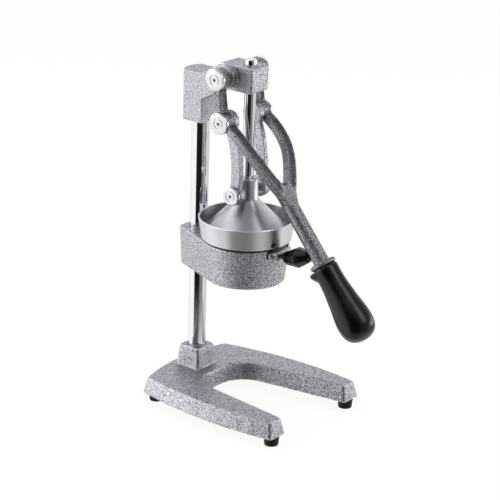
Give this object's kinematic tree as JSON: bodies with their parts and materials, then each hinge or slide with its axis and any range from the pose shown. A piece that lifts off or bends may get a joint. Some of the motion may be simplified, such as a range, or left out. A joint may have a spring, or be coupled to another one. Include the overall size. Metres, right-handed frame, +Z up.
{
  "type": "lever citrus press",
  "caption": "Hand-lever citrus press: horseshoe base, column and cast head; a fork lever with crescent links drives a cup on a guide rod down over a strainer and funnel.",
  "frame": {"origin": "on the table top, at the centre of the press's bounding box seen from above", "axes": "+Z up, -Y towards the user and the lever's grip, +X to the user's right as they face the press"},
  "size_m": [0.188, 0.2921, 0.4334],
  "materials": {
    "hammertone_paint": "silver-grey hammertone enamel on castings",
    "chrome": "polished chrome plate",
    "aluminium": "brushed round the axis",
    "stainless": "brushed sheet",
    "zinc_steel": "dull zinc plate",
    "rubber": "matt black",
    "black_plastic": "satin-gloss black moulding"
  },
  "bodies": {
    "frame": {"base_casting": "hammertone_paint", "head_casting": "hammertone_paint", "bowl_holder": "hammertone_paint", "column": "chrome", "head_pivot_bolt_left": "chrome", "head_pivot_bolt_right": "chrome", "head_spacer_left": "chrome", "head_spacer_right": "chrome", "strainer": "stainless", "reamer": "stainless", "juice_funnel": "stainless", "column_washer": "zinc_steel", "column_bolt": "zinc_steel", "head_set_screw": "zinc_steel", "holder_set_screw": "zinc_steel", "foot_screw_front_left": "zinc_steel", "foot_screw_front_right": "zinc_steel", "foot_screw_rear_left": "zinc_steel", "foot_screw_rear_right": "zinc_steel", "side_grip_screw": "zinc_steel", "foot_front_left": "rubber", "foot_front_right": "rubber", "foot_rear_left": "rubber", "foot_rear_right": "rubber", "side_grip": "black_plastic"},
    "lever": {"lever_fork": "hammertone_paint", "lever_grip": "black_plastic", "link_pivot_bolt_left": "chrome", "link_pivot_bolt_right": "chrome"},
    "press": {"press_cup": "aluminium", "guide_rod": "chrome", "rod_screw": "zinc_steel", "cup_pivot_bolt_left": "chrome", "cup_pivot_bolt_right": "chrome"},
    "link_left": {"link_left": "hammertone_paint"},
    "link_right": {"link_right": "hammertone_paint"}
  },
  "joints": [
    {"name": "lever_hinge", "type": "hinge", "parent": "frame", "child": "lever", "pos_m": [0, 0.0605, 0.4126], "axis": [-1, 0, 0], "range_deg": [0, 110]},
    {"name": "press_slide", "type": "slide", "parent": "frame", "child": "press", "axis": [0, 0, 1], "range_m": [0, 0.0785]},
    {"name": "link_left_hinge", "type": "hinge", "parent": "press", "child": "link_left", "pos_m": [0, 0.0415, 0.273], "axis": [1, 0, 0], "range_deg": [0, 25.2]},
    {"name": "link_right_hinge", "type": "hinge", "parent": "press", "child": "link_right", "pos_m": [0, 0.0415, 0.273], "axis": [1, 0, 0], "range_deg": [0, 25.2]}
  ],
  "couplings": [
    {"joint": "press_slide", "follows": "lever_hinge", "m_per_rad": 0.0408},
    {"joint": "link_left_hinge", "follows": "lever_hinge", "ratio": 0.229},
    {"joint": "link_right_hinge", "follows": "lever_hinge", "ratio": 0.229}
  ]
}
